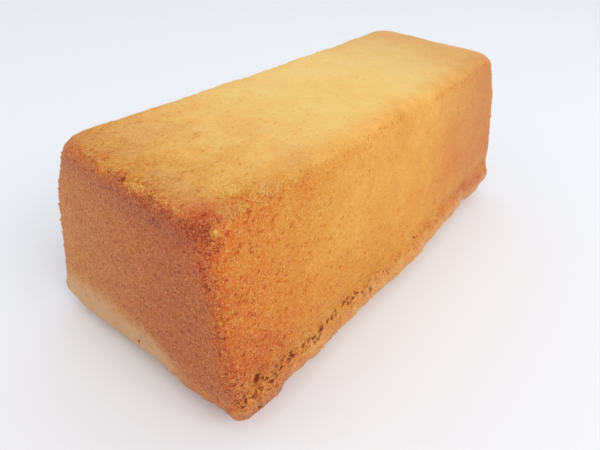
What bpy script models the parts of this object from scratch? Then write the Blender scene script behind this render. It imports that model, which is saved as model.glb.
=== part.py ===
"""Butter cake: one plain loaf cake, turned out of its tin and standing upside down.

What was the tin's base is the nearly flat top. The walls lean out on their way down to the table,
and the batter that rose over the tin's mouth has set as a rounded lip along the foot of the two
long walls. Each corner of that foot spread and lifted by its own amount, so the foot is uneven.

The cake is one closed body, lofted from rings. Each ring is a rounded rectangle at one height,
pulled out by the lip and in by the pores above it. The work is in metres, with +Z up, the long
side along X and the origin on the table in the middle of the cake. "Near" is -Y, "left" is -X.
"""

import math

import bmesh
import bpy
import numpy as np
from mathutils import Vector, noise

MM = 0.001

# Driving dimensions: the walls, as they would meet the table without the lip.
LENGTH = 182.2 * MM
WIDTH = 86.5 * MM
HEIGHT = 68 * MM
END_LEAN = 5.5 * MM
SIDE_LEAN = 13.0 * MM

# Rounded edges of the tin's inside. The upright edges open out into the rounder top corners.
TOP_EDGE_RADIUS = 4.8 * MM
UPRIGHT_EDGE_RADIUS = 3.6 * MM
FOOT_CORNER_RADIUS = 3.6 * MM
TOP_CORNER_RADIUS = 8.3 * MM
TOP_CORNER_REACH = 18.0 * MM
TOP_SAG = 0.9 * MM

# Lip of overflowed batter: how far it stands out, and where along the height.
LIP_OUT = 1.8 * MM
LIP_HEIGHT = 7.0 * MM
LIP_SPREAD = 5.0 * MM
LIP_WAIST = 0.6 * MM

# Crease between the lip and the wall, where the batter hung over the tin's rim.
CREASE_DEPTH = 0.6 * MM
CREASE_HEIGHT = 14.5 * MM
CREASE_SPREAD = 2.6 * MM

# Underside: a flat spot to rest on, then a curl up to the lowest line of the lip.
FOOT_RADIUS = 7.1 * MM
UNDERSIDE_CURL = 10.0 * MM
FOOT_LIFT = 3.3 * MM
FOOT_REACH = 14.0 * MM
LIFT_REACH = 30.0 * MM

# How each corner of the foot differs: (spread outwards, lift off the table).
FOOT_CORNERS = {
    "left_near": (-3.5 * MM, 0.3 * MM),
    "left_far": (-0.4 * MM, -0.9 * MM),
    "right_near": (-1.6 * MM, 0.8 * MM),
    "right_far": (-1.2 * MM, 0.5 * MM),
}

# Lumps and dents of the foot: (wall, place along the wall, half width, out or in).
FOOT_LUMPS = (
    ("near", 58.0 * MM, 5.0 * MM, -2.0 * MM),
    ("near", 4.0 * MM, 14.0 * MM, 1.1 * MM),
    ("near", -45.0 * MM, 20.0 * MM, -0.7 * MM),
    ("near", -69.5 * MM, 3.0 * MM, -1.4 * MM),
    ("near", -78.0 * MM, 5.0 * MM, 0.9 * MM),
    ("left", -36.0 * MM, 4.0 * MM, -0.7 * MM),
    ("left", -20.0 * MM, 6.0 * MM, 0.8 * MM),
    ("left", 0.0 * MM, 9.0 * MM, -0.8 * MM),
    ("left", 30.0 * MM, 9.0 * MM, 0.7 * MM),
)

# Pores left where the lip folded over the tin's rim, and one large one by the near left corner.
PORE_HEIGHT = 15.5 * MM
PORE_RADIUS = 2.2 * MM
PORE_DEPTH = 1.6 * MM
PORE_SPACING = 8.5 * MM
LARGE_PORE = (-78.5 * MM, -1, 19.5 * MM, 1.5)

# Unevenness of the crust and of its crumbling edges.
CRUST_UNEVEN = 0.35 * MM
CRUST_WAVE = 16.0 * MM
EDGE_CRUMBLE = 0.3 * MM
EDGE_WAVE = 7.0 * MM

# How finely the loft is divided.
LONG_STEPS = 46
SHORT_STEPS = 18
CORNER_STEPS = 4
WALL_STEPS = 8
ROUND_STEPS = 5
LIP_STEPS_UP = 7


def smooth_step(low, high, value):
    """Ease from 0 at low to 1 at high."""
    share = np.clip((value - low) / (high - low), 0.0, 1.0)
    return share * share * (3.0 - 2.0 * share)


def hump(value, centre, half_width):
    """A bell of height 1 round centre."""
    return np.exp(-(((value - centre) / half_width) ** 2))


def rounded_rectangle(half_x, half_y, radius):
    """Points of the outline, anticlockwise from the near side's left end."""
    inner = np.array((half_x - radius, half_y - radius))
    corners = np.array(((1, -1), (1, 1), (-1, 1), (-1, -1)))
    points = []
    for side, corner in enumerate(corners):
        steps = LONG_STEPS if side % 2 == 0 else SHORT_STEPS
        facing = math.radians(90 * side - 90)
        out = radius * np.array((math.cos(facing), math.sin(facing)))
        start = inner * corners[side - 1] + out
        end = inner * corner + out
        for step in range(steps):
            points.append(start + (end - start) * step / steps)
        for step in range(CORNER_STEPS):
            angle = facing + math.radians(90) * step / CORNER_STEPS
            points.append(inner * corner + radius * np.array((math.cos(angle), math.sin(angle))))
    return np.array(points)


def quarter(steps):
    """Angles from 0 to 90 degrees, both ends included."""
    return np.linspace(0.0, math.pi / 2, steps + 1)


def profile():
    """The wall's section from the underside to the top: (height, inset, share of foot lift)."""
    section = []
    for share in (0.0, 0.35, 0.7):
        section.append((0.0, FOOT_RADIUS + UNDERSIDE_CURL * (1.0 - share), share))
    for angle in quarter(ROUND_STEPS):
        height = FOOT_RADIUS * (1.0 - math.cos(angle))
        section.append((height, FOOT_RADIUS * (1.0 - math.sin(angle)), 1.0))
    lip_top = LIP_HEIGHT + 2.4 * LIP_SPREAD
    for height in np.linspace(FOOT_RADIUS, lip_top, LIP_STEPS_UP + 1)[1:]:
        section.append((height, 0.0, 1.0))
    for height in np.linspace(lip_top, HEIGHT - TOP_EDGE_RADIUS, WALL_STEPS)[1:-1]:
        section.append((height, 0.0, 1.0))
    for angle in quarter(ROUND_STEPS):
        height = HEIGHT - TOP_EDGE_RADIUS * (1.0 - math.sin(angle))
        section.append((height, TOP_EDGE_RADIUS * (1.0 - math.cos(angle)), 1.0))
    return section


def corner_weights(along, across):
    """How strongly each corner of the foot pulls a point; along and across run from 0 to 1."""
    return {
        "left_near": (1.0 - along) ** 4 * (1.0 - across) ** 2,
        "left_far": (1.0 - along) ** 3 * across ** 2,
        "right_near": along ** 3 * (1.0 - across) ** 2,
        "right_far": along ** 3 * across ** 2,
    }


def lip_out(height):
    """How far the long walls stand out at a height: the lip, less the crease above it."""
    lip = LIP_OUT * hump(height, LIP_HEIGHT, LIP_SPREAD)
    return lip - CREASE_DEPTH * hump(height, CREASE_HEIGHT, CREASE_SPREAD)


def plain_ring(height, inset):
    """The rounded rectangle at one height, with the walls' lean and the lip in its size."""
    share = height / HEIGHT
    half_x = LENGTH / 2 - END_LEAN * share - inset
    half_y = WIDTH / 2 - SIDE_LEAN * share - inset + lip_out(height)
    foot = math.exp(-((height / FOOT_REACH) ** 2))
    top = float(smooth_step(HEIGHT - TOP_CORNER_REACH, HEIGHT - TOP_EDGE_RADIUS, height))
    radius = UPRIGHT_EDGE_RADIUS + (FOOT_CORNER_RADIUS - UPRIGHT_EDGE_RADIUS) * foot
    radius += (TOP_CORNER_RADIUS - UPRIGHT_EDGE_RADIUS) * top
    return rounded_rectangle(half_x, half_y, max(radius - 0.4 * inset, 1.5 * MM))


def uneven_foot(points, height):
    """Spread the foot's corners, draw the lip in at its middle and add its lumps and dents."""
    foot = math.exp(-((height / FOOT_REACH) ** 2))
    along = np.clip(points[:, 0] / LENGTH + 0.5, 0.0, 1.0)
    across = np.clip(points[:, 1] / WIDTH + 0.5, 0.0, 1.0)
    moved = points.copy()
    for name, weight in corner_weights(along, across).items():
        spread = FOOT_CORNERS[name][0] * weight * foot
        moved[:, 0] += spread * (1 if "right" in name else -1)
        moved[:, 1] += spread * (1 if "far" in name else -1)
    side = np.sign(points[:, 1]) * np.clip(np.abs(points[:, 1]) / (WIDTH / 2), 0.0, 1.0) ** 2
    moved[:, 1] -= side * LIP_WAIST * foot * (np.sin(math.pi * along) - 0.5)
    for wall, place, half_width, out in FOOT_LUMPS:
        face, run = (1, 0) if wall == "near" else (0, 1)
        lump = np.where(points[:, face] < 0.0, 1.0, 0.0) * hump(points[:, run], place, half_width)
        moved[:, face] -= out * lump * foot
    return moved


def ring(height, inset, lift_share):
    """One ring of the loft, with its points' own heights."""
    plan = plain_ring(height, inset)
    along = np.clip(plan[:, 0] / LENGTH + 0.5, 0.0, 1.0)
    across = np.clip(plan[:, 1] / WIDTH + 0.5, 0.0, 1.0)
    lift = np.full(len(plan), FOOT_LIFT)
    for name, weight in corner_weights(along, across).items():
        lift += FOOT_CORNERS[name][1] * weight
    lift *= lift_share * math.exp(-((height / LIFT_REACH) ** 2))
    sag = TOP_SAG * np.sin(math.pi * along) * (height / HEIGHT) ** 2
    heights = np.maximum(height + lift - sag, 0.0)
    return np.column_stack((uneven_foot(plan, height), heights))


def loft(mesh):
    """Bridge the rings from the underside up, and return the first and the last."""
    rows = []
    for height, inset, lift_share in profile():
        points = ring(height, inset, lift_share)
        rows.append([mesh.verts.new(point) for point in points])
    count = len(rows[0])
    for lower, upper in zip(rows, rows[1:]):
        for here in range(count):
            after = (here + 1) % count
            mesh.faces.new((lower[here], lower[after], upper[after], upper[here]))
    return rows[0], rows[-1]


def close_top(mesh, rim):
    """Fill the top with a grid of faces between its two long edges."""
    side_steps = LONG_STEPS + CORNER_STEPS
    turn = LONG_STEPS + SHORT_STEPS + 2 * CORNER_STEPS
    start = -(CORNER_STEPS // 2)
    rails = []
    for first in (start, start + turn):
        for step in range(side_steps):
            ends = (rim[(first + step) % len(rim)], rim[(first + step + 1) % len(rim)])
            rails.append(mesh.edges.get(ends))
    bmesh.ops.grid_fill(mesh, edges=rails, use_interp_simple=True)


def wall_share(point):
    """1 on an upright edge or the top's edge, falling to 0 within the flat faces."""
    share = point.z / HEIGHT
    to_end = LENGTH / 2 - END_LEAN * share - abs(point.x)
    to_side = WIDTH / 2 - SIDE_LEAN * share - abs(point.y)
    to_top = HEIGHT - point.z
    nearest = sorted((max(to_end, 0.0), max(to_side, 0.0), to_top))
    return float(1.0 - smooth_step(1.0 * MM, 9.0 * MM, nearest[1]))


def crumble(mesh):
    """Push the skin in and out by low waves, more along the edges, and leave the rest spot flat."""
    mesh.normal_update()
    for vert in mesh.verts:
        free = float(smooth_step(0.2 * MM, 3.0 * MM, vert.co.z))
        wave = noise.noise(vert.co / CRUST_WAVE) * CRUST_UNEVEN
        crumb = noise.noise(vert.co / EDGE_WAVE + Vector((7.3, 1.9, 4.1))) * EDGE_CRUMBLE
        vert.co += vert.normal * free * (wave + crumb * wall_share(vert.co))


def pore_places():
    """Each pore's place along X, side, height and size, in a wandering row above each long lip."""
    yield LARGE_PORE
    count = int((LENGTH - 4 * UPRIGHT_EDGE_RADIUS) / PORE_SPACING)
    for side in (-1, 1):
        for number in range(count):
            along = (number + 0.5) / count - 0.5
            drift = noise.noise(Vector((number * 1.7, side * 3.1, 0.5)))
            place_x = along * (LENGTH - 4 * UPRIGHT_EDGE_RADIUS) + drift * PORE_SPACING / 2
            height = PORE_HEIGHT + drift * PORE_RADIUS
            yield place_x, side, height, 0.6 + 0.8 * abs(drift)


def press_pores(mesh):
    """Press each pore into the wall along Y."""
    for place_x, side, height, size in pore_places():
        for vert in mesh.verts:
            if vert.co.y * side < WIDTH / 4:
                continue
            gap = math.hypot(vert.co.x - place_x, vert.co.z - height)
            if gap < 2 * PORE_RADIUS:
                vert.co.y -= side * PORE_DEPTH * size * float(hump(gap, 0.0, PORE_RADIUS))


def stand_on_origin(mesh):
    """Move the cake so that the middle of its foot is the origin."""
    low = Vector([min(vert.co[axis] for vert in mesh.verts) for axis in range(3)])
    high = Vector([max(vert.co[axis] for vert in mesh.verts) for axis in range(3)])
    middle = (low + high) / 2
    bmesh.ops.translate(mesh, verts=mesh.verts, vec=(-middle.x, -middle.y, -low.z))


def crust_material():
    """Golden brown baked crust: matt and slightly greasy."""
    material = bpy.data.materials.new("golden_crust")
    material.use_nodes = True
    shader = material.node_tree.nodes["Principled BSDF"]
    shader.inputs["Base Color"].default_value = (0.72, 0.34, 0.09, 1.0)
    shader.inputs["Roughness"].default_value = 0.62
    shader.inputs["Metallic"].default_value = 0.0
    material.diffuse_color = shader.inputs["Base Color"].default_value
    return material


def build_cake():
    """Make the cake as one object, named for its node."""
    mesh = bmesh.new()
    rest, rim = loft(mesh)
    mesh.faces.new(list(reversed(rest)))
    close_top(mesh, rim)
    crumble(mesh)
    press_pores(mesh)
    stand_on_origin(mesh)
    bmesh.ops.recalc_face_normals(mesh, faces=mesh.faces)
    data = bpy.data.meshes.new("cake")
    mesh.to_mesh(data)
    mesh.free()
    data.shade_smooth()
    data.set_sharp_from_angle(angle=math.radians(50))
    data.materials.append(crust_material())
    cake = bpy.data.objects.new("cake", data)
    bpy.context.scene.collection.objects.link(cake)
    return cake


def main():
    """Clear the scene and build the cake."""
    for old in list(bpy.data.objects):
        bpy.data.objects.remove(old, do_unlink=True)
    build_cake()


main()
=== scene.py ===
"""Looks of a plain butter cake, turned out of its tin and standing upside down.

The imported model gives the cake's form and place. This script grows the crumb and the crust on a
copy of that form, scatters the crumbs that the tin tore loose along its edges, and sets the cake
on a pale floor under soft studio light. "Near" is -Y and "left" is -X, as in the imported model.
"""

import logging
import math
from dataclasses import dataclass
from enum import Enum
from typing import Any

import bmesh
import bpy
import numpy as np
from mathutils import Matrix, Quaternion, Vector


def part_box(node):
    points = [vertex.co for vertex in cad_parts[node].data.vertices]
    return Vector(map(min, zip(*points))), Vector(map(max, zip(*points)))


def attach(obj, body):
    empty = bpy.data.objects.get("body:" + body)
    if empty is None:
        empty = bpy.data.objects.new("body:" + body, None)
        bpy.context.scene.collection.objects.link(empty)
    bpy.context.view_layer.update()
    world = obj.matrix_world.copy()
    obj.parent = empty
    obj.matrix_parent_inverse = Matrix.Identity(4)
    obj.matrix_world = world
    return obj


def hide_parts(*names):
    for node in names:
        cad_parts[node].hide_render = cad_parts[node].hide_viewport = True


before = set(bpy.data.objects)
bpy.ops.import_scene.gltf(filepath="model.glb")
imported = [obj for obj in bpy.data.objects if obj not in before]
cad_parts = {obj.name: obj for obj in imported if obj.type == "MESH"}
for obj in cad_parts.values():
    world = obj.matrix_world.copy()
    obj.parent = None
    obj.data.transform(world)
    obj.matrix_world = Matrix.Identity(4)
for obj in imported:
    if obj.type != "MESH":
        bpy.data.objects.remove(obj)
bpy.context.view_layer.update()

MM = 0.001
ROOT_BODY = "root"
CAKE_NODE = "cake"
MATH = "ShaderNodeMath"
CAKE_LOW = Vector(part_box(CAKE_NODE)[0])
WALL_LEAN = math.radians(11.0)

log = logging.getLogger("butter_cake")

Points = np.ndarray
Field = np.ndarray
Triple = tuple[float, float, float]
Piece = bpy.types.Object
Tree = bpy.types.NodeTree
Socket = bpy.types.NodeSocket


# ---- Small tools ----


def linear(hex_colour: str) -> tuple[float, float, float, float]:
    """Turn an sRGB hex colour into linear red, green, blue and alpha.

    Args:
        hex_colour: Six hex digits after a hash sign.

    Returns:
        The linear colour, with alpha 1.
    """
    channels = []
    for start in (1, 3, 5):
        value = int(hex_colour[start:start + 2], 16) / 255.0
        channels.append(value / 12.92 if value <= 0.04045 else ((value + 0.055) / 1.055) ** 2.4)
    return channels[0], channels[1], channels[2], 1.0


def ease(low: float, high: float, value: Any) -> Any:
    """Ease from 0 at low to 1 at high.

    Args:
        low: Where the rise starts.
        high: Where it ends. It may be below low, for a fall.
        value: A number or an array.

    Returns:
        The eased share, of the same kind as value.
    """
    share = np.clip((value - low) / (high - low), 0.0, 1.0)
    return share * share * (3.0 - 2.0 * share)


def bell(value: Any, centre: float, half_width: float) -> Any:
    """A bell of height 1 round centre.

    Args:
        value: A number or an array.
        centre: Where the bell is highest.
        half_width: How far from the centre it has fallen to 1/e.

    Returns:
        The bell's height at value.
    """
    return np.exp(-(((value - centre) / half_width) ** 2))


def add_node(tree: Tree, kind: str, settings: dict[str, Any] | None = None,
             links: dict[Any, Any] | None = None) -> bpy.types.Node:
    """Add one node with its settings and links.

    Args:
        tree: The node tree to add to.
        kind: The node's Blender type name.
        settings: Node properties by name, or socket defaults by "in:NAME" or "in:NUMBER".
        links: The output socket that feeds each input, by the input's name or number.

    Returns:
        The new node.
    """
    node = tree.nodes.new(kind)
    for name, value in (settings or {}).items():
        if name.startswith("in:"):
            key = name[3:]
            node.inputs[int(key) if key.isdigit() else key].default_value = value
        else:
            setattr(node, name, value)
    for name, source in (links or {}).items():
        tree.links.new(source, node.inputs[name])
    return node


class Pattern(Enum):
    """The seeded patterns in the crumb and its browning, each with the seed it is drawn from."""

    LIP_LINE = 3
    FRAYING = 4
    FINE_FRAYING = 5
    LIP_FUZZ = 6
    LUMPS = 11
    GRAIN = 12
    CRUMBS = 13
    FINE_GRAIN = 14
    PITS = 15
    FOOT_PITS = 16
    BITES = 17
    PORE_LINE = 18
    PORE_CROWDS = 19
    SPLITS = 20
    SHIFT_X = 31
    SHIFT_Y = 32
    SHIFT_Z = 33
    BROAD_STAINS = 51
    STAINS = 52
    EDGE_STAINS = 53
    WISPS = 54
    FILM = 55
    SPECKS = 56
    FINE_SPECKS = 57
    LIP_STAINS = 58
    RUST = 59
    LIP_PALENESS = 60
    TORN_CLUMPS = 77
    TORN_KNOBS = 78


class Lattice:
    """Seeded noise worked out for many points at once, from a hash of lattice cells."""

    def __init__(self, pattern: Pattern) -> None:
        """Take the pattern's seed, which makes it its own."""
        self.seed = pattern.value

    def draw(self, cells: Points, salt: int) -> Field:
        """A fixed draw from 0 to 1 for each cell.

        Args:
            cells: Whole-number cell places, one row of three each.
            salt: Tells the draws of one cell apart.

        Returns:
            One number for each cell.
        """
        mixed = cells[..., 0] * 73856093 ^ cells[..., 1] * 19349663 ^ cells[..., 2] * 83492791
        mixed = (mixed ^ (self.seed * 2654435761 + salt * 97531)) & 0xFFFFFFFF
        mixed = ((mixed ^ (mixed >> 15)) * 2246822519) & 0xFFFFFFFF
        mixed = ((mixed ^ (mixed >> 13)) * 3266489917) & 0xFFFFFFFF
        return ((mixed ^ (mixed >> 16)) & 0xFFFFFF) / float(0xFFFFFF)

    def waves(self, points: Points, size: float | Triple) -> Field:
        """Smooth noise from -1 to 1.

        Args:
            points: Places in metres.
            size: The distance between hills, one for all axes or one for each.

        Returns:
            One height for each point.
        """
        scaled = points / np.array(size)
        cell = np.floor(scaled).astype(np.int64)
        part = scaled - cell
        part = part * part * (3.0 - 2.0 * part)
        total = np.zeros(len(points))
        for corner in np.ndindex(2, 2, 2):
            share = np.prod(np.where(np.array(corner) == 1, part, 1.0 - part), axis=1)
            total += share * self.draw(cell + np.array(corner), 1)
        return total * 2.0 - 1.0

    def pits(self, points: Points, spacing: float, fill: Field, radii: tuple[float, float]) -> Field:
        """Round pits scattered one to a cell, where the fill allows them.

        Args:
            points: Places in metres.
            spacing: The cells' size, so the mean distance between pits.
            fill: The share of cells that hold a pit, at each point.
            radii: Smallest and largest pit radius, in metres.

        Returns:
            How deep each point lies in a pit: 0 outside and 1 at its middle.
        """
        scaled = points / spacing
        cell = np.floor(scaled).astype(np.int64)
        deepest = np.zeros(len(points))
        for step in np.ndindex(3, 3, 3):
            near = cell + np.array(step) - 1
            centre = near + np.stack([self.draw(near, salt) for salt in (2, 3, 4)], axis=1)
            radius = radii[0] + (radii[1] - radii[0]) * self.draw(near, 5) ** 2
            gap = np.linalg.norm(scaled - centre, axis=1) * spacing
            depth = (1.0 - np.clip(gap / radius, 0.0, 1.0) ** 2) * (self.draw(near, 6) < fill)
            deepest = np.maximum(deepest, depth)
        return deepest


# ---- The skin and its zones ----


class Zone(Enum):
    """What the crust is like at a point. Each is also the name of a mesh attribute."""

    BROWNING = "browning"
    BARE = "bare_crumb"
    DRY = "dry_crust"
    # Where the dark red brown goes: painted shade in pores, pits and burst bubbles, and the scorched
    # points' burnt colour.
    PORE_SHADE_AND_SCORCH = "pore"
    OPEN = "open_crumb"
    COARSE = "coarse_grain"


class Skin:
    """Places on the smooth skin, and how strongly each belongs to a face, an edge or the lip.

    near_foot is the open crumb at the near left corner's foot, rough_band the rougher crumb along
    the near wall's lip, and free is 0 where the skin rests on the floor.
    """

    def __init__(self, points: Points, normals: Points) -> None:
        """Work out the strengths from the places and normals.

        Args:
            points: Places on the skin, in metres.
            normals: The unit normals there.
        """
        self.points = points
        self.normals = normals
        self.x, self.y, self.z = points.T
        self.from_left = self.x - CAKE_LOW.x
        facing_up = normals[:, 2]
        across = np.abs(normals[:, 1]) * math.cos(WALL_LEAN) + facing_up * math.sin(WALL_LEAN)
        along = np.abs(normals[:, 0])
        frayed = (0.16 * self.waves(Pattern.FRAYING, 2.6 * MM)
                  + 0.10 * self.waves(Pattern.FINE_FRAYING, 1.2 * MM))
        self.top = ease(0.55, 0.93, facing_up + 0.5 * frayed)
        self.end = ease(0.50, 0.80, along + frayed)
        self.side = ease(0.45, 0.85, across) * (1.0 - self.top)
        self.edge = 1.0 - ease(0.86, 0.995, np.maximum.reduce([facing_up, across, along]))
        self.near = (self.y < 0.0) * 1.0
        self.left_end = ease(0.25, 0.7, -normals[:, 0])
        self.upright = self.edge * (1.0 - ease(0.25, 0.5, facing_up)) * self.up(8, 20)
        self.rubbed_stretch = self.along(150, 110)
        self.lip = Lip().reach(self)
        foot_gap = np.hypot(self.from_left / 1.7, self.z - 15 * MM)
        self.near_foot = self.near * (1.0 - ease(5 * MM, 13 * MM, foot_gap)) * (1.0 - 0.7 * self.end)
        self.rough_band = 0.3 * self.band(13.5, 5.0) * self.side * self.near
        self.free = self.up(0.2, 2.5)

    def waves(self, pattern: Pattern, size: float | Triple) -> Field:
        """Smooth noise from -1 to 1 on the skin, with hills that far apart."""
        return Lattice(pattern).waves(self.points, size)

    def along(self, start: float, end: float) -> Field:
        """Ease from 0 to 1 along the cake, from start to end in mm from its left end."""
        return ease(start * MM, end * MM, self.from_left)

    def across(self, start: float, end: float) -> Field:
        """Ease from 0 to 1 across the cake, from start to end in mm along the Y axis."""
        return ease(start * MM, end * MM, self.y)

    def up(self, start: float, end: float) -> Field:
        """Ease from 0 to 1 upwards, from start to end in mm."""
        return ease(start * MM, end * MM, self.z)

    def band(self, height: float, half_width: float) -> Field:
        """A band round the cake at a height in mm, fading to both sides."""
        return bell(self.z, height * MM, half_width * MM)


@dataclass(frozen=True)
class Lip:
    """The batter that lapped over the tin's rim, and the line where it starts."""

    side_height: float = 13.2 * MM
    side_fade: float = 1.8 * MM
    end_height: float = 16.0 * MM
    end_rise: float = 3.0 * MM
    end_fade: float = 5.5 * MM
    wander: float = 1.4 * MM
    wander_size: float = 11 * MM
    fuzz: float = 2.2 * MM
    fuzz_size: float = 3.5 * MM

    def reach(self, skin: Skin) -> Field:
        """How far each place is below the lip's line, from 0 above it to 1.

        Args:
            skin: The smooth skin.

        Returns:
            The strength of the lip at each place.
        """
        wander = skin.waves(Pattern.LIP_LINE, self.wander_size) * self.wander
        above_line = skin.z - self.side_height - wander
        on_side = 1.0 - ease(-self.side_fade, self.side_fade, above_line)
        rise = self.end_rise * skin.across(-25, -5)
        fuzz = skin.waves(Pattern.LIP_FUZZ, self.fuzz_size) * self.fuzz
        above_line = skin.z - self.end_height - rise - wander - fuzz
        on_end = 1.0 - ease(-self.end_fade, self.end_fade, above_line)
        return on_side + (on_end - on_side) * skin.end


@dataclass(frozen=True)
class Spot:
    """A place on the crust that differs from what is round it, fading with distance."""

    place_mm: Triple
    radius_mm: float
    strength: float

    def reach(self, points: Points) -> Field:
        """How strongly the spot acts at each point."""
        gap = np.linalg.norm(points - np.array(self.place_mm) * MM, axis=1)
        return self.strength * np.exp(-((gap / (self.radius_mm * MM)) ** 2))


def reach_of(spots: tuple[Spot, ...], points: Points) -> Field:
    """How strongly all the spots together act at each point."""
    return sum(spot.reach(points) for spot in spots)


# Burnt points of crust: the near left top corner, the upright edge under it, and the far one.
SCORCHED = (
    Spot((-82.4, -27.4, 65.1), 1.1, 1.1),
    Spot((-82.8, -28.7, 63.3), 0.8, 0.8),
    Spot((-83.0, -24.6, 65.0), 3.5, 0.20),
    Spot((-85.7, -30.2, 56.2), 1.3, 0.06),
    Spot((-85.6, -30.9, 52.8), 0.7, 0.12),
    Spot((-87.2, -36.4, 21.5), 1.5, 0.08),
    Spot((-86.8, 33.6, 47.0), 0.9, 0.5),
    Spot((-86.9, 33.6, 45.0), 0.8, 0.3),
)
# Patches along the near top edge where the crust rubbed off into pale crumbs.
RUBBED = (
    Spot((-81.3, -29.0, 64.7), 0.8, 1.2),
    Spot((-80.0, -28.0, 66.2), 0.8, 0.7),
    Spot((-77.8, -27.8, 66.8), 0.9, 0.7),
    Spot((-75.2, -27.8, 67.0), 0.9, 0.6),
    Spot((-72.0, -28.2, 66.7), 0.8, 0.7),
    Spot((-68.6, -27.6, 67.0), 0.9, 0.4),
    Spot((-64.6, -28.2, 66.8), 1.0, 0.4),
    Spot((-70.0, -23.0, 67.6), 1.6, 0.4),
)
# Burst bubbles larger than the pores round them, along the line where the lip starts.
HOLES = (
    Spot((-78.0, -38.8, 17.4), 1.15, 1.0),
    Spot((-82.8, -39.5, 15.9), 0.9, 0.8),
    Spot((-75.4, -40.3, 14.4), 0.7, 0.7),
    Spot((-86.8, -38.7, 14.8), 0.9, 0.8),
    Spot((-88.2, -32.5, 14.1), 0.7, 0.6),
    Spot((-88.6, -26.4, 12.4), 1.0, 0.6),
    Spot((-88.8, 1.6, 10.0), 0.7, 0.5),
    Spot((-24.1, -41.7, 12.4), 1.0, 0.6),
    Spot((-12.7, -41.2, 14.0), 0.8, 0.7),
)
# The near left top corner: paler on the long wall, browner on the end, and glazed smooth.
CORNER_GLOW = Spot((-76.0, -32.0, 66.0), 16.0, 0.07)
SINGED = Spot((-81.5, -23.5, 67.0), 6.0, 0.11)
GLAZED = Spot((-82.5, -24.0, 64.5), 8.0, 0.85)


# ---- Relief and browning ----


@dataclass(frozen=True)
class Pits:
    """One kind of pit: its pattern, and how far apart, how wide and how deep its pits are."""

    pattern: Pattern
    spacing: float
    radii: tuple[float, float]
    depth: float

    def reach(self, points: Points, fill: Field) -> Field:
        """How deep each point lies in a pit, from 0 to 1, where fill is the share of them kept."""
        return Lattice(self.pattern).pits(points, self.spacing, fill, self.radii)


@dataclass(frozen=True)
class Crust:
    """The grown skin: where it is, what it is like there, and how crumbly its edges are."""

    skin: Skin
    surface: Points
    zones: dict[Zone, Field]
    wear: Field


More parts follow.
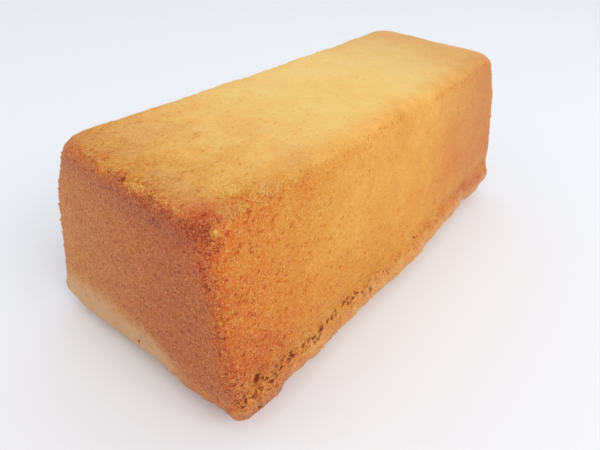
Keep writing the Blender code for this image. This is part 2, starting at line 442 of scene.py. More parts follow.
@dataclass(frozen=True)
class Relief:
    """The crumb's relief: how far the skin stands out, and where its pores are."""

    lump_size: float = 6.0 * MM
    lump_height: float = 0.12 * MM
    lip_lumps: float = 2.6
    grain_size: float = 1.7 * MM
    grain_height: float = 0.12 * MM
    fine_size: float = 1.1 * MM
    fine_height: float = 0.2 * MM
    crumb_size: float = 2.1 * MM
    crumb_height: float = 0.28 * MM
    lip_crumb_height: float = 0.16 * MM
    rubbed_height: float = 0.15 * MM
    rubbed_crumb_height: float = 0.3 * MM
    pits: Pits = Pits(Pattern.PITS, 2.4 * MM, (0.45 * MM, 0.9 * MM), 0.28 * MM)
    foot_pits: Pits = Pits(Pattern.FOOT_PITS, 2.3 * MM, (0.5 * MM, 0.9 * MM), 0.7 * MM)
    bites: Pits = Pits(Pattern.BITES, 2.6 * MM, (0.6 * MM, 1.2 * MM), 0.2 * MM)
    row_height: float = 15.0 * MM
    row_wander: float = 0.9 * MM
    row_half_width: float = 1.5 * MM
    row_depth: float = 0.35 * MM
    split_size: float = 2.0 * MM
    split_depth: float = 0.2 * MM
    hole_depth: float = 1.5 * MM
    scorch_depth: float = 0.5 * MM
    blister_height: float = 0.8 * MM
    warp_size: float = 1.6 * MM
    warp_reach: float = 0.7 * MM

    def grow(self, skin: Skin) -> Crust:
        """Work out the relief and the zones that go with it.

        Args:
            skin: The smooth skin.

        Returns:
            The crust, with the strengths of PORE_SHADE_AND_SCORCH, OPEN and COARSE.
        """
        coarse = self.coarseness(skin)
        wear = self.wear(skin)
        row = self.row(skin)
        crowded = self.crowding(skin)
        bent = self.warp(skin.points)
        pits = self.pits.reach(bent, 0.34 * coarse * (1.0 - 0.7 * skin.lip))
        foot_pits = self.foot_pits.reach(bent, 0.40 * skin.near_foot)
        bites = self.bites.reach(bent, 0.55 * wear)
        splits = self.splits(skin, bent, row, crowded)
        holes = reach_of(HOLES, bent)
        scorched = reach_of(SCORCHED, skin.points)
        out = self.bumps(skin, coarse, wear, bites, scorched)
        out -= (self.pits.depth * pits + self.foot_pits.depth * foot_pits
                + self.split_depth * splits + self.hole_depth * holes)
        out -= self.row_depth * row * skin.near
        shown_row = row * (0.25 + 0.75 * skin.near)
        # The dark red brown goes here: painted shade in the row's pores, the foot's pits and the burst
        # bubbles, and burnt colour at the scorched points.
        strewn = np.maximum(0.82 * crowded * ease(0.35, 0.65, shown_row), 0.22 * skin.near_foot)
        pore = np.maximum.reduce([strewn, 1.15 * foot_pits, 2.0 * holes + 0.9 * scorched])
        opened = 0.55 * skin.near_foot + 0.2 * shown_row + skin.rough_band
        out *= skin.free
        return Crust(skin, skin.points + skin.normals * out[:, None], {
            Zone.PORE_SHADE_AND_SCORCH: np.clip(pore, 0.0, 1.0) * skin.free,
            Zone.OPEN: np.clip(opened, 0.0, 1.0),
            Zone.COARSE: coarse,
        }, wear)

    def bumps(self, skin: Skin, coarse: Field, wear: Field, bites: Field, scorched: Field) -> Field:
        """How far the lumps, the grain, the crumbs and the scorched points stand out.

        Args:
            skin: The smooth skin.
            coarse: How coarse the grain is.
            wear: How crumbly the edges are.
            bites: How deep each place lies where a crumb came off a worn edge.
            scorched: How scorched each place is: sunk on the near side, blistered on the far one.

        Returns:
            The height at each place.
        """
        lumps = skin.waves(Pattern.LUMPS, self.lump_size)
        grain = skin.waves(Pattern.GRAIN, self.grain_size)
        crumbs = skin.waves(Pattern.CRUMBS, self.crumb_size)
        fine = skin.waves(Pattern.FINE_GRAIN, self.fine_size)
        out = self.lump_height * (1.0 + self.lip_lumps * skin.lip) * lumps
        out += (self.grain_height * (0.4 + 0.6 * coarse) * (grain + 0.6 * fine)
                + self.lip_crumb_height * skin.lip * crumbs)
        out += wear * (self.crumb_height * crumbs + self.fine_height * fine - self.bites.depth * bites)
        out += (reach_of(RUBBED, skin.points) * (self.rubbed_height + self.rubbed_crumb_height * crumbs)
                - self.scorch_depth * scorched * skin.near)
        out += self.blister_height * scorched * (1.0 - skin.near)
        return out

    def coarseness(self, skin: Skin) -> Field:
        """How coarse the grain is, from 0 on the tin's polished base to 1 on the open crumb.

        Args:
            skin: The smooth skin.

        Returns:
            The coarseness at each place.
        """
        side = 0.26 + 1.05 * np.exp(-skin.from_left / (72 * MM))
        side += 0.15 * skin.up(40, 15)
        top = 0.34 + 1.1 * np.exp(-skin.from_left / (40 * MM))
        rim = 0.2 * skin.edge * skin.near * skin.rubbed_stretch + 0.35 * skin.near_foot
        rim += skin.rough_band
        smooth = (1.0 - 0.55 * GLAZED.reach(skin.points)) * (1.0 - 0.3 * skin.upright * skin.near)
        return (skin.end * 1.05 + skin.side * side + skin.top * top + 0.1 * skin.edge) * smooth + rim

    def wear(self, skin: Skin) -> Field:
        """How crumbly the edges are: most by the left end.

        Args:
            skin: The smooth skin.

        Returns:
            The wear at each place.
        """
        near = skin.across(22, -8)
        by_end = skin.along(60, 12) * near
        by_end = np.maximum(by_end, skin.left_end * np.maximum(near, 0.7 * skin.upright))
        by_end = np.maximum(by_end, 0.8 * skin.upright * skin.along(160, 172))
        turned_up = 0.35 + 0.65 * ease(0.25, 0.65, skin.normals[:, 2])
        turned_up = np.maximum(turned_up, skin.upright * np.maximum(1.0 - skin.near, skin.x > 0.0))
        worn = skin.edge * (0.16 + 0.70 * by_end) * (1.0 - 0.8 * skin.lip) * turned_up
        return worn * (1.0 - GLAZED.reach(skin.points))

    def row(self, skin: Skin) -> Field:
        """How strongly each place belongs to the row of pores along the tin's rim."""
        line = self.row_height + self.row_wander * skin.waves(Pattern.PORE_LINE, 14 * MM)
        return bell(skin.z, line, self.row_half_width) * skin.side

    def crowding(self, skin: Skin) -> Field:
        """How crowded the row's pores are: most a few centimetres from the left end.

        Args:
            skin: The smooth skin.

        Returns:
            The crowding at each place, from 0 to 1.
        """
        patches = 0.5 + 0.5 * skin.waves(Pattern.PORE_CROWDS, 6 * MM)
        dense = skin.along(53, 44) * skin.along(12, 19)
        sparse = 0.62 * skin.along(90, 78) + 0.18
        return np.maximum(dense, sparse * ease(0.42, 0.6, patches))

    def splits(self, skin: Skin, bent: Points, row: Field, crowded: Field) -> Field:
        """How deep each place lies in the ragged splits that join the row's pores."""
        ragged = ease(0.30, 0.05, np.abs(Lattice(Pattern.SPLITS).waves(bent, self.split_size)))
        return ease(0.35, 0.75, row) * ragged * crowded * (0.35 + 0.65 * skin.near)

    def warp(self, points: Points) -> Points:
        """Shift the places a little, so that what is drawn round a point comes out uneven.

        Args:
            points: Places in metres.

        Returns:
            The shifted places.
        """
        shifts = [Lattice(pattern).waves(points, self.warp_size)
                  for pattern in (Pattern.SHIFT_X, Pattern.SHIFT_Y, Pattern.SHIFT_Z)]
        return points + self.warp_reach * np.stack(shifts, axis=1)


@dataclass(frozen=True)
class Baking:
    """How the crust browned: least on the tin's base, most by the left end."""

    top_level: float = 0.12
    end_level: float = 0.80
    side_level: float = 0.47
    most_on_faces: float = 0.84
    most_on_edges: float = 0.93
    scorching: float = 0.3
    rubbed_off: float = 0.16

    def work_out(self, skin: Skin) -> dict[Zone, Field]:
        """Work out the browning, and where the crust is dry or worn down to bare crumb.

        Args:
            skin: The smooth skin.

        Returns:
            The strengths of BROWNING, BARE and DRY.
        """
        shares = np.stack([skin.top, skin.end, skin.side], axis=1) + 1e-4
        shares /= shares.sum(axis=1, keepdims=True)
        top, end, side = shares.T
        wispy = skin.top * skin.along(75, 25)
        pale_end = skin.across(-28, -6)
        faces = self.on_top(skin) * top + self.on_end(skin) * end + self.on_side(skin) * side
        browning = faces - skin.side * CORNER_GLOW.reach(skin.points)
        browning += SINGED.reach(skin.points) * (1.0 - skin.side)
        self.stain(skin, browning, wispy)
        browning += skin.lip * 0.02 * side
        browning -= skin.lip * (0.04 + 0.14 * pale_end) * end
        browning -= self.rubbed_off * np.clip(reach_of(RUBBED, skin.points), 0.0, 1.0)
        browning = np.minimum(browning, self.most_on_faces) + self.on_edges(skin)
        browning = np.minimum(browning, self.most_on_edges)
        browning += self.scorching * reach_of(SCORCHED, skin.points)
        far = skin.along(95, 170)
        dry = top * (0.02 + 0.22 * far) + side * (0.01 + 0.27 * far) + end * 0.11 * (1.0 - skin.edge)
        lip_side = side * (0.28 + 0.28 * far)
        lip_end = end * (0.15 + 0.73 * pale_end) * (0.55 + 0.45 * skin.up(2, 9))
        lip_end *= 1.0 + 0.35 * skin.waves(Pattern.LIP_PALENESS, 2.4 * MM)
        bare = end * (0.03 + 0.12 * skin.across(-20, 30))
        bare = np.maximum(bare, (lip_side + lip_end) * skin.lip)
        bare += 0.14 * wispy * ease(0.0, 0.5, skin.waves(Pattern.FILM, 7 * MM))
        bare += 0.10 * skin.side * skin.near * skin.band(17, 4) * skin.along(60, 40)
        found = {Zone.BROWNING: browning, Zone.BARE: bare, Zone.DRY: dry * (1.0 - 0.7 * skin.lip)}
        return {zone: np.clip(strength, 0.0, 1.0) for zone, strength in found.items()}

    def stain(self, skin: Skin, browning: Field, wispy: Field) -> None:
        """Add the uneven stains of a real oven to the browning, from broad ones to specks.

        Args:
            skin: The smooth skin.
            browning: The even browning, which is changed in place.
            wispy: How strongly the top's thin wisps show at each place.
        """
        for strength, pattern, size in (
            (0.05, Pattern.BROAD_STAINS, 21 * MM),
            (0.04, Pattern.STAINS, 6 * MM),
            (0.06 * wispy, Pattern.WISPS, (4.5 * MM, 2.4 * MM, 4 * MM)),
            (0.04 + 0.03 * wispy, Pattern.SPECKS, 2.2 * MM),
            (0.022, Pattern.FINE_SPECKS, 1.3 * MM),
            (0.17 * skin.lip, Pattern.LIP_STAINS, 2.6 * MM),
        ):
            browning += strength * skin.waves(pattern, size)
        rust = skin.band(14.5, 1.6) * skin.side * skin.along(70, 90)
        browning += rust * (0.07 + 0.12 * skin.waves(Pattern.RUST, 3.2 * MM))

    def on_side(self, skin: Skin) -> Field:
        """Browning of the long walls.

        Args:
            skin: The smooth skin.

        Returns:
            The browning at each place.
        """
        near_end = 0.30 * skin.along(60, -5)
        far_end = 0.18 * skin.along(90, 175)
        row_pale = 0.09 * skin.band(18, 3.5) * bell(skin.from_left, 28 * MM, 17 * MM)
        far_pale = 0.09 * skin.along(115, 135) * skin.band(21, 5)
        top_pale = 0.07 * bell(skin.from_left, 135 * MM, 30 * MM) * skin.up(45, 58)
        right_edge = 0.12 * skin.along(168, 177) * skin.up(35, 45)
        streak = 0.07 * skin.up(57, 63) * skin.along(75, 35)
        pale = row_pale + far_pale + top_pale + right_edge + 0.08 * skin.near_foot - streak
        return self.side_level + near_end + far_end - pale + 0.08 * skin.up(48, 20)

    def on_end(self, skin: Skin) -> Field:
        """Browning of the two ends."""
        corner = (0.06 + 0.12 * skin.across(12, -28)) * skin.up(55, 62)
        return self.end_level - 0.12 * skin.across(-20, 30) + corner

    def on_top(self, skin: Skin) -> Field:
        """Browning of the top.

        Args:
            skin: The smooth skin.

        Returns:
            The browning at each place.
        """
        left = 0.44 * np.exp(-(skin.from_left - 8 * MM) / (24 * MM))
        right = 0.19 * skin.along(125, 176)
        rims = 0.22 * skin.across(-18, -31) + 0.07 * skin.across(18, 31)
        rims += 0.10 * skin.across(-23, -29) * skin.along(50, 20)
        return self.top_level + np.clip(left, 0.0, 0.5) + right + rims

    def on_edges(self, skin: Skin) -> Field:
        """What the edges have browned beyond the faces that meet there.

        Args:
            skin: The smooth skin.

        Returns:
            The added browning at each place.
        """
        near_rim = 0.05 + 0.09 * skin.across(15, -25)
        rim = skin.band(63.5, 2.6) * skin.left_end * near_rim
        patches = skin.waves(Pattern.EDGE_STAINS, 3.5 * MM)
        upright = (0.10 + 0.08 * patches) * skin.upright * skin.near * skin.along(60, 10)
        rubbed_rim = 0.05 * patches * skin.edge * skin.near * skin.rubbed_stretch
        return rim + upright + rubbed_rim * (1.0 - skin.upright) * skin.up(50, 60)


def write_zones(data: bpy.types.Mesh, zones: dict[Zone, Field]) -> None:
    """Keep each zone's strength on the mesh, where the finish reads it.

    Args:
        data: The mesh.
        zones: Each zone's strength at each vertex.
    """
    for zone, strength in zones.items():
        attribute = data.attributes.new(zone.value, "FLOAT", "POINT")
        attribute.data.foreach_set("value", strength.astype(np.float32))


# ---- Pieces ----


@dataclass(frozen=True)
class CakeBody:
    """The cake itself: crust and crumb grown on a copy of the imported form."""

    voxel: float = 0.46 * MM
    quick_voxel: float = 1.0 * MM
    smoothing: int = 16
    triangles: int = 196000
    relief: Relief = Relief()
    baking: Baking = Baking()

    def build(self) -> tuple[Piece, Crust]:
        """Make the body's mesh, with its relief and its zones.

        Returns:
            The finished object, not yet dressed, and its crust.
        """
        body = self.copy_form()
        self.remesh(body)
        skin = self.read_skin(body)
        crust = self.relief.grow(skin)
        crust.zones.update(self.baking.work_out(skin))
        body.data.vertices.foreach_set("co", crust.surface.ravel())
        write_zones(body.data, crust.zones)
        body.data.update()
        self.thin_out(body)
        return body, crust

    def copy_form(self) -> Piece:
        """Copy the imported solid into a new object.

        Returns:
            The new object, without a finish.
        """
        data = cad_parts[CAKE_NODE].data.copy()
        data.name = "butter_cake_body"
        data.materials.clear()
        body = bpy.data.objects.new("butter_cake_body", data)
        bpy.context.scene.collection.objects.link(body)
        return body

    def apply(self, body: Piece, kind: str, **settings: Any) -> None:
        """Add one modifier and apply it at once.

        Args:
            body: The object to change.
            kind: The modifier's Blender type name.
            **settings: The modifier's own settings.
        """
        modifier = body.modifiers.new(kind.lower(), kind)
        for name, value in settings.items():
            setattr(modifier, name, value)
        graph = bpy.context.evaluated_depsgraph_get()
        data = bpy.data.meshes.new_from_object(body.evaluated_get(graph), depsgraph=graph)
        body.modifiers.clear()
        body.data = data

    def remesh(self, body: Piece) -> None:
        """Cover the form with an even, fine skin and smooth the facets away."""
        self.apply(body, "REMESH", mode="VOXEL",
                   voxel_size=self.voxel)
        self.apply(body, "SMOOTH", factor=0.5, iterations=self.smoothing)

    def read_skin(self, body: Piece) -> Skin:
        """Read the places and normals of the body's vertices.

        Args:
            body: The smooth object.

        Returns:
            Its skin.
        """
        count = len(body.data.vertices)
        points = np.empty(count * 3)
        normals = np.empty(count * 3)
        body.data.vertices.foreach_get("co", points)
        body.data.vertex_normals.foreach_get("vector", normals)
        return Skin(points.reshape(-1, 3), normals.reshape(-1, 3))

    def thin_out(self, body: Piece) -> None:
        """Merge the smallest triangles where the skin is flat, down to the triangle count.

        Args:
            body: The object to change.
        """
        body.data.calc_loop_triangles()
        count = len(body.data.loop_triangles)
        if count > self.triangles:
            self.apply(body, "DECIMATE", ratio=self.triangles / count)
        body.data.shade_smooth()

    def dress(self, body: Piece, finish: "GoldenCrust") -> None:
        """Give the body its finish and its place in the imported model.

        Args:
            body: The finished mesh.
            finish: The crust's finish.
        """
        body.data.materials.append(finish.material())
        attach(body, ROOT_BODY)
        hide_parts(CAKE_NODE)


@dataclass(frozen=True)
class TornCrumbs:
    """Crumbs along the worn edges and rubbed patches, torn half loose as the cake left its tin."""

    count: int = 1700
    quick_count: int = 300
    smallest: float = 0.16 * MM
    largest: float = 0.55 * MM
    smallness: float = 2.2
    narrowest: float = 0.65
    widest: float = 1.3
    knobbliness: float = 0.32
    knob_size: float = 0.9
    sunk: float = 0.40
    clump_size: float = 2.6 * MM
    paler: float = -0.12
    unevenness: float = 0.06
    barer: float = 0.15
    grain: float = 0.6

    def weights(self, crust: Crust) -> Field:
        """How likely a crumb is at each place on the skin: they come in clumps.

        Args:
            crust: The finished skin that they sit on.

        Returns:
            A weight for each place.
        """
        skin = crust.skin
        clumps = ease(0.45, 0.75, 0.5 + 0.5 * skin.waves(Pattern.TORN_CLUMPS, self.clump_size))
        edges = 2.5 * crust.wear ** 3 * (0.1 + clumps)
        rim = 0.05 * skin.edge * skin.near * (1.0 - skin.upright) * clumps * skin.rubbed_stretch
        rubbed = 14.0 * reach_of(RUBBED, skin.points) * (0.4 + clumps)
        strewn = 0.002 * crust.zones[Zone.COARSE] * (1.0 - skin.lip)
        foot = 0.02 * skin.near_foot
        return (edges + rim + rubbed + strewn + foot) * skin.up(4, 10)

    def build(self, crust: Crust) -> Piece:
        """Make all the crumbs as one mesh.

        Args:
            crust: The finished skin that they sit on.

        Returns:
            The crumbs, not yet dressed.
        """
        random = np.random.default_rng(Pattern.TORN_CLUMPS.value)
        count = self.count
        weight = self.weights(crust)
        hosts = random.choice(len(weight), count, replace=False, p=weight / weight.sum())
        ball, faces = self.ball()
        radius = self.smallest + (self.largest - self.smallest) * random.random(count) ** self.smallness
        stretch = radius[:, None] * random.uniform(self.narrowest, self.widest, (count, 3))
        turn = self.turns(random, count)
        bulge = 1.0 + self.knobbliness * self.knobs(ball, count)
        shape = ball[None] * bulge[:, :, None] * stretch[:, None, :]
        middle = crust.surface[hosts] - crust.skin.normals[hosts] * (radius * self.sunk)[:, None]
        corners = np.einsum("nij,nvj->nvi", turn, shape) + middle[:, None, :]
        numbers = faces[None] + (np.arange(count) * len(ball))[:, None, None]
        data = bpy.data.meshes.new("torn_crumbs")
        data.from_pydata(corners.reshape(-1, 3), [], numbers.reshape(-1, 3))
        each = {zone: strength[hosts] for zone, strength in crust.zones.items()}
        shade = random.normal(self.paler, self.unevenness, count)
        each[Zone.BROWNING] = np.clip(each[Zone.BROWNING] + shade, 0.0, 1.0)
        each[Zone.BARE] = np.clip(each[Zone.BARE] + self.barer, 0.0, 1.0)
        each[Zone.PORE_SHADE_AND_SCORCH] = np.zeros(count)
        each[Zone.COARSE] = self.grain * np.ones(count)
        write_zones(data, {zone: np.repeat(strength, len(ball)) for zone, strength in each.items()})
        data.shade_smooth()
        crumbs = bpy.data.objects.new("torn_crumbs", data)
        bpy.context.scene.collection.objects.link(crumbs)
        return crumbs

    def ball(self) -> tuple[Points, np.ndarray]:
        """Corners and faces of a ball of radius 1, which every crumb starts from.

        Returns:
            The corners, and three corner numbers for each face.
        """
        form = bmesh.new()
        bmesh.ops.create_icosphere(form, subdivisions=2, radius=1.0)
        corners = np.array([vertex.co[:] for vertex in form.verts])
        faces = np.array([[vertex.index for vertex in face.verts] for face in form.faces])
        form.free()
        return corners, faces

    def knobs(self, ball: Points, count: int) -> Field:
        """How far each corner of each crumb stands out from its ball, from -1 to 1.

        Args:
            ball: The ball's corners.
            count: How many crumbs there are.

        Returns:
            One row of heights for each crumb.
        """
        apart = np.arange(count)[:, None, None] * np.array([7.3, 3.1, 5.7])
        places = (ball[None] + apart).reshape(-1, 3)
        return Lattice(Pattern.TORN_KNOBS).waves(places, self.knob_size).reshape(count, len(ball))

    def turns(self, random: np.random.Generator, count: int) -> np.ndarray:
        """A turning matrix for each crumb.

        Args:
            random: Where the turns are drawn from.
            count: How many crumbs there are.

        Returns:
            The matrices.
        """
        first = random.normal(size=(count, 3))
        first /= np.linalg.norm(first, axis=1, keepdims=True)
        second = np.cross(first, random.normal(size=(count, 3)))
        second /= np.linalg.norm(second, axis=1, keepdims=True)
        return np.stack([first, second, np.cross(first, second)], axis=2)

    def dress(self, crumbs: Piece, finish: "GoldenCrust") -> None:
        """Give the crumbs the crust's finish and let them move with the cake.

        Args:
            crumbs: The finished mesh.
            finish: The crust's finish.
        """
        crumbs.data.materials.append(finish.material())
        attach(crumbs, ROOT_BODY)


# ---- Finishes ----


@dataclass(frozen=True)
class GoldenCrust:
    """Butter cake crust, browned against a greased tin, with crumb and lip in one finish."""

    # Sugar and butter browned against hot metal: pale straw where the tin's base kept it cool,
    # through gold and orange to a red brown by the left end. The tin pressed the crumb nearly
    # flat, so the eye sees a dry, waxy surface with a faint shine on the crests of its grain,
    # fine creases and pits where bubbles broke, and dark holes where the lip pulled away. The
    # shine on the crests is lower roughness together with a painted highlight in their colour,
    # and the grain's hollows, creases, pores and holes are painted darker as shade. Light goes
    # a little way into the crumb and comes back warm.
    name: str = "golden_crust_baked_in_tin"
    baked: tuple[tuple[float, str], ...] = (
        (0.00, "#EBCE84"), (0.12, "#EAC46C"), (0.30, "#E7AC50"), (0.50, "#D5902E"),
        (0.68, "#CC6F12"), (0.80, "#C0560A"), (0.92, "#AE420C"), (1.00, "#942E0A"),
    )
    crumb: str = "#D1A276"
    # Pale gold painted on the grain's highest crests as highlights.
    crest_highlight: str = "#FFD08A"
    dry: str = "#967660"
    # Dark red brown: painted shade in holes, creases and pores, and the burnt colour of the scorched
    # points.
    pore: str = "#8A3814"
    bend_size: float = 0.9 * MM
    bend_reach: float = 1.0 * MM
    cell_size: float = 0.85 * MM
    cell_height: float = 0.16
    grain_size: float = 0.40 * MM
    crease_size: float = 1.4 * MM
    pit_size: float = 2.3 * MM
    pore_size: float = 1.4 * MM
    fraying: float = 0.06
    hollow_depth: float = 1.2
    # How far the hollows are painted darker and more orange, as shade.
    hollow_shading: float = 0.11
    # How far the grain's crests are painted paler and its hollows darker, as light and shade.
    grain_shading: float = 0.028
    # How much pale gold the highest crests take, as painted highlights.
    crest_highlight_share: float = 0.32
    pore_crowding: float = 1.7
    dull: float = 0.6
    waxy: float = 0.30
    relief: float = 0.025 * MM
    ior: float = 1.45
    specular_level: float = 0.25
    glow: float = 0.15
    glow_radius: Triple = (2.0, 0.9, 0.3)
    glow_scale: float = 0.4 * MM

    def material(self) -> bpy.types.Material:
        """Build the material's nodes.

        Returns:
            The material.
        """
        material = bpy.data.materials.new(self.name)
        material.use_nodes = True
        tree = material.node_tree
        tree.nodes.clear()
        zones = {zone: add_node(tree, "ShaderNodeAttribute", {"attribute_name": zone.value})
                 .outputs["Fac"] for zone in Zone}
        place = self.bend(tree)
        sponge = self.sponge(tree, place)
        coarse = zones[Zone.COARSE]
        creases = self.hollows(tree, place, self.crease_size, (2.2, 1.0, 1.0), 0.24, coarse, sponge)
        pits = self.hollows(tree, place, self.pit_size, (1.5, 1.0, 1.0), 0.22, coarse, sponge)
        hollow = add_node(tree, MATH, {"operation": "MAXIMUM"}, {0: creases, 1: pits}).outputs[0]
        height = add_node(tree, MATH, {
            "operation": "MULTIPLY_ADD", "in:1": -self.hollow_depth,
        }, {0: hollow, 2: sponge}).outputs[0]
        rough = add_node(tree, MATH, {"operation": "MULTIPLY"}, {0: height, 1: coarse}).outputs[0]
        crowd = add_node(tree, MATH, {"operation": "MULTIPLY", "in:1": self.pore_crowding},
                         {0: zones[Zone.PORE_SHADE_AND_SCORCH]}).outputs[0]
        chain = self.hollows(tree, place, self.pore_size, (1.5, 1.1, 1.1), 0.47, crowd, sponge)
        dark = self.darkness(tree, zones, creases, chain)
        colour = self.colour(tree, zones, hollow, rough, dark)
        gloss = add_node(tree, "ShaderNodeMapRange", {
            "in:1": 0.2, "in:2": 1.5, "in:3": self.dull, "in:4": self.waxy,
        }, {0: rough}).outputs[0]
        bump = add_node(tree, "ShaderNodeBump", {"in:Strength": 1.0, "in:Distance": self.relief},
                        {"Height": rough})
        shader = add_node(tree, "ShaderNodeBsdfPrincipled", {
            "in:IOR": self.ior,
            "in:Specular IOR Level": self.specular_level,
            "in:Subsurface Weight": self.glow,
            "in:Subsurface Radius": self.glow_radius,
            "in:Subsurface Scale": self.glow_scale,
        }, {"Base Color": colour, "Roughness": gloss, "Normal": bump.outputs["Normal"]})
        add_node(tree, "ShaderNodeOutputMaterial", links={"Surface": shader.outputs["BSDF"]})
        return material

    def colour(self, tree: Tree, zones: dict[Zone, Socket], hollow: Socket, rough: Socket,
               dark: Socket) -> Socket:
        """The crust's colour: baked crust, then bare crumb, dry crust, crests painted pale as
        highlights and holes painted dark as shade.

        Args:
            tree: The node tree.
            zones: Each zone's strength.
            hollow: How deep a place lies in a crease or pit. Hollows are painted browner and darker, as
                shade.
            rough: The grain's height. Its crests are painted paler, as highlights.
            dark: How far a place is inside a dark hole, which is painted shade, or at a scorched point,
                which is its burnt colour.

        Returns:
            The colour.
        """
        # Painted shade: creases and pits move further along the browning ramp, so they come out darker
        # and more orange.
        hollow_shaded = add_node(tree, MATH, {
            "operation": "MULTIPLY_ADD", "in:1": self.hollow_shading,
        }, {0: hollow, 2: zones[Zone.BROWNING]}).outputs[0]
        # Painted light and shade: crests move back along the ramp and come out paler, hollows move
        # forward and come out darker.
        baked = add_node(tree, MATH, {
            "operation": "MULTIPLY_ADD", "in:1": -self.grain_shading,
        }, {0: rough, 2: hollow_shaded}).outputs[0]
        ramp = add_node(tree, "ShaderNodeValToRGB", links={"Fac": baked})
        self.fill_ramp(ramp.color_ramp)
        # Painted highlights: the highest crests of the grain take some pale gold.
        painted_glints = add_node(tree, "ShaderNodeMapRange", {
            "in:1": -0.6, "in:2": 2.6, "in:3": 0.0, "in:4": self.crest_highlight_share,
        }, {0: rough}).outputs[0]
        # The dark red brown is painted shade in holes, torn creases and pores, and the real burnt
        # colour at the scorched points.
        layers = ((zones[Zone.BARE], self.crumb), (zones[Zone.DRY], self.dry),
                  (painted_glints, self.crest_highlight), (dark, self.pore))
        colour = ramp.outputs["Color"]
        for share, tint in layers:
            colour = add_node(tree, "ShaderNodeMix", {"data_type": "RGBA", "in:7": linear(tint)},
                              {0: share, 6: colour}).outputs[2]
        return colour

    def darkness(self, tree: Tree, zones: dict[Zone, Socket], creases: Socket,
                 chain: Socket) -> Socket:
        """How far each place is inside a dark hole: a torn crease, a pore or a burst bubble.

        Args:
            tree: The node tree.
            zones: Each zone's strength.
            creases: How deep a place lies in a crease.
            chain: How deep it lies in one of the pores that come in chains.

        Returns:
            The share of the dark red brown.
        """
        torn = add_node(tree, MATH, {"operation": "MULTIPLY"},
                        {0: creases, 1: zones[Zone.OPEN]}).outputs[0]
        hole = add_node(tree, "ShaderNodeMapRange", {"in:1": 0.84, "in:2": 0.97},
                        {0: zones[Zone.PORE_SHADE_AND_SCORCH]}).outputs[0]
        dark = chain
        for other in (hole, torn):
            dark = add_node(tree, MATH, {"operation": "MAXIMUM"}, {0: dark, 1: other}).outputs[0]
        return dark

    def bend(self, tree: Tree) -> Socket:
        """Shift the places by about a grain, so that no pattern drawn there is regular.

        Args:
            tree: The node tree.

        Returns:
            Where the patterns are read.
        """
        place = add_node(tree, "ShaderNodeTexCoord").outputs["Object"]
        shift = add_node(tree, "ShaderNodeTexNoise", {
            "in:Scale": 1.0 / self.bend_size, "in:Detail": 2.0,
        }, {"Vector": place})
        return add_node(tree, "ShaderNodeVectorMath", {
            "operation": "MULTIPLY_ADD", "in:1": (self.bend_reach,) * 3,
        }, {0: shift.outputs["Color"], 2: place}).outputs[0]

    def sponge(self, tree: Tree, place: Socket) -> Socket:
        """The crumb's fine sponge: about -1 in its hollows and 1 on its walls.

        Args:
            tree: The node tree.
            place: Where the pattern is read.

        Returns:
            The sponge's height.
        """
        grain = add_node(tree, "ShaderNodeTexNoise", {
            "in:Scale": 1.0 / self.grain_size, "in:Detail": 2.0, "in:Roughness": 0.85,
        }, {"Vector": place}).outputs["Fac"]
        cells = add_node(tree, "ShaderNodeTexVoronoi", {"in:Scale": 1.0 / self.cell_size},
                         {"Vector": place}).outputs["Distance"]
        level = add_node(tree, MATH, {
            "operation": "MULTIPLY_ADD", "in:1": self.cell_height,
        }, {0: cells, 2: grain}).outputs[0]
        return add_node(tree, "ShaderNodeMapRange", {
            "clamp": False, "in:1": 0.38, "in:2": 0.76, "in:3": -2.2, "in:4": 2.2,
        }, {0: level}).outputs[0]

    def hollows(self, tree: Tree, place: Socket, spacing: float, stretch: Triple, radius: float,
                share: Socket, sponge: Socket) -> Socket:
        """Small hollows where gas bubbles broke against the tin, longer along the cake.

        Args:
            tree: The node tree.
            place: Where the pattern is read.
            spacing: The cells' size, each of which may hold one hollow.
            stretch: How much longer a hollow is along each axis.
            radius: A hollow's radius, as a share of the spacing.
            share: The share of the cells that hold one, of which two thirds are used.
            sponge: The fine sponge, which frays each hollow's rim.

        Returns:
            The depth, from 0 outside to 1 at a hollow's middle.
        """
        laid = add_node(tree, "ShaderNodeMapping", {
            "vector_type": "TEXTURE", "in:Rotation": (0.0, -0.3, 0.0), "in:Scale": stretch,
        }, {"Vector": place}).outputs[0]
        cells = add_node(tree, "ShaderNodeTexVoronoi", {"in:Scale": 1.0 / spacing}, {"Vector": laid})
        frayed = add_node(tree, MATH, {
            "operation": "MULTIPLY_ADD", "in:1": self.fraying,
        }, {0: sponge, 2: cells.outputs["Distance"]}).outputs[0]
        inside = add_node(tree, "ShaderNodeMapRange", {
            "interpolation_type": "SMOOTHSTEP", "in:1": radius * 1.2, "in:2": radius * 0.6,
        }, {0: frayed}).outputs[0]
        lot = add_node(tree, MATH, {"operation": "MULTIPLY", "in:1": 1.5},
                       {0: cells.outputs["Color"]}).outputs[0]
        held = add_node(tree, MATH, {"operation": "LESS_THAN"}, {0: lot, 1: share}).outputs[0]
        return add_node(tree, MATH, {"operation": "MULTIPLY"}, {0: inside, 1: held}).outputs[0]

    def fill_ramp(self, ramp: bpy.types.ColorRamp) -> None:
        """Lay out the colours that the crust passes through as it bakes.

        Args:
            ramp: The ramp to fill.
        """
        while len(ramp.elements) < len(self.baked):
            ramp.elements.new(1.0)
        for element, (place, tint) in zip(ramp.elements, self.baked):
            element.position = place
            element.color = linear(tint)


@dataclass(frozen=True)
class StudioPaper:
    """Matt white background paper, rolled smooth."""

    # Uncoated paper: an even, cool white without any sheen, which shows only the soft shadow.
    name: str = "white_studio_paper"
    colour: str = "#EBEEEF"
    roughness: float = 0.9

    def material(self) -> bpy.types.Material:
        """Build the material's nodes.

        Returns:
            The material.
        """
        material = bpy.data.materials.new(self.name)
        material.use_nodes = True
        shader = material.node_tree.nodes["Principled BSDF"]
        shader.inputs["Base Color"].default_value = linear(self.colour)
        shader.inputs["Roughness"].default_value = self.roughness
        return material


# ---- Studio ----


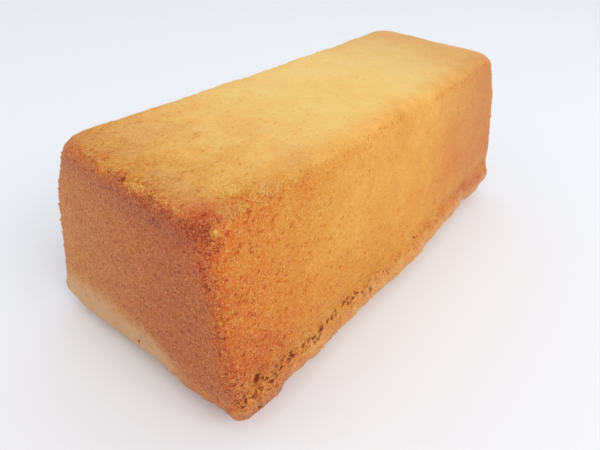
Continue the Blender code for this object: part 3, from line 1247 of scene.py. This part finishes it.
@dataclass(frozen=True)
class Studio:
    """Floor, light and camera."""

    floor_size: float = 6.0
    surround_colour: str = "#F4F5FC"
    surround_strength: float = 0.91
    key_size: float = 0.9
    key_power: float = 8.1
    key_colour: Triple = (1.0, 0.985, 0.96)
    key_place: Triple = (-0.12, -1.0, 1.0)
    target: Triple = (-34.5 * MM, -16.7 * MM, 34.0 * MM)
    distance: float = 151.1 * MM
    azimuth: float = math.radians(216.58)
    elevation: float = math.radians(37.29)
    roll: float = math.radians(3.57)
    lens: float = 27.38
    nearest: float = 10 * MM

    def build(self) -> None:
        """Set up everything that isn't part of the cake."""
        bpy.context.scene.view_settings.view_transform = "Standard"
        self.lay_floor()
        self.hang_lights()
        self.place_camera()

    def lay_floor(self) -> None:
        """Lay the paper, level with the cake's foot."""
        bpy.ops.mesh.primitive_plane_add(size=self.floor_size, location=(0, 0, CAKE_LOW.z))
        floor = bpy.context.object
        floor.name = "studio_floor"
        floor.data.materials.append(StudioPaper().material())

    def hang_lights(self) -> None:
        """A large soft key from the near side, and an even pale surround."""
        world = bpy.data.worlds.new("studio_surround")
        bpy.context.scene.world = world
        world.use_nodes = True
        background = world.node_tree.nodes["Background"]
        background.inputs["Color"].default_value = linear(self.surround_colour)
        background.inputs["Strength"].default_value = self.surround_strength
        key = bpy.data.lights.new("key_softbox", "AREA")
        key.shape = "DISK"
        key.size = self.key_size
        key.energy = self.key_power
        key.color = self.key_colour
        lamp = bpy.data.objects.new("key_softbox", key)
        lamp.location = self.key_place
        lamp.rotation_euler = Vector(lamp.location).to_track_quat("Z", "Y").to_euler()
        bpy.context.scene.collection.objects.link(lamp)

    def place_camera(self) -> None:
        """Look down on the near left corner from close by."""
        back = Vector((math.cos(self.elevation) * math.cos(self.azimuth),
                       math.cos(self.elevation) * math.sin(self.azimuth),
                       math.sin(self.elevation)))
        camera = bpy.data.objects.new("camera", bpy.data.cameras.new("camera"))
        camera.data.lens = self.lens
        camera.data.clip_start = self.nearest
        camera.location = Vector(self.target) + back * self.distance
        turn = (-back).to_track_quat("-Z", "Y") @ Quaternion((0, 0, 1), self.roll)
        camera.rotation_euler = turn.to_euler()
        bpy.context.scene.collection.objects.link(camera)
        bpy.context.scene.camera = camera


def report(piece: Piece) -> None:
    """Log a finished piece and how fine its mesh is."""
    piece.data.calc_loop_triangles()
    log.info("%s: %d triangles", piece.name, len(piece.data.loop_triangles))


def main() -> None:
    """Build the studio, the cake and its torn crumbs."""
    logging.basicConfig(level=logging.INFO, format="%(name)s: %(message)s")
    Studio().build()
    finish = GoldenCrust()
    cake = CakeBody()
    body, crust = cake.build()
    cake.dress(body, finish)
    report(body)
    torn = TornCrumbs()
    crumbs = torn.build(crust)
    torn.dress(crumbs, finish)
    report(crumbs)


if __name__ == "__main__":
    main()
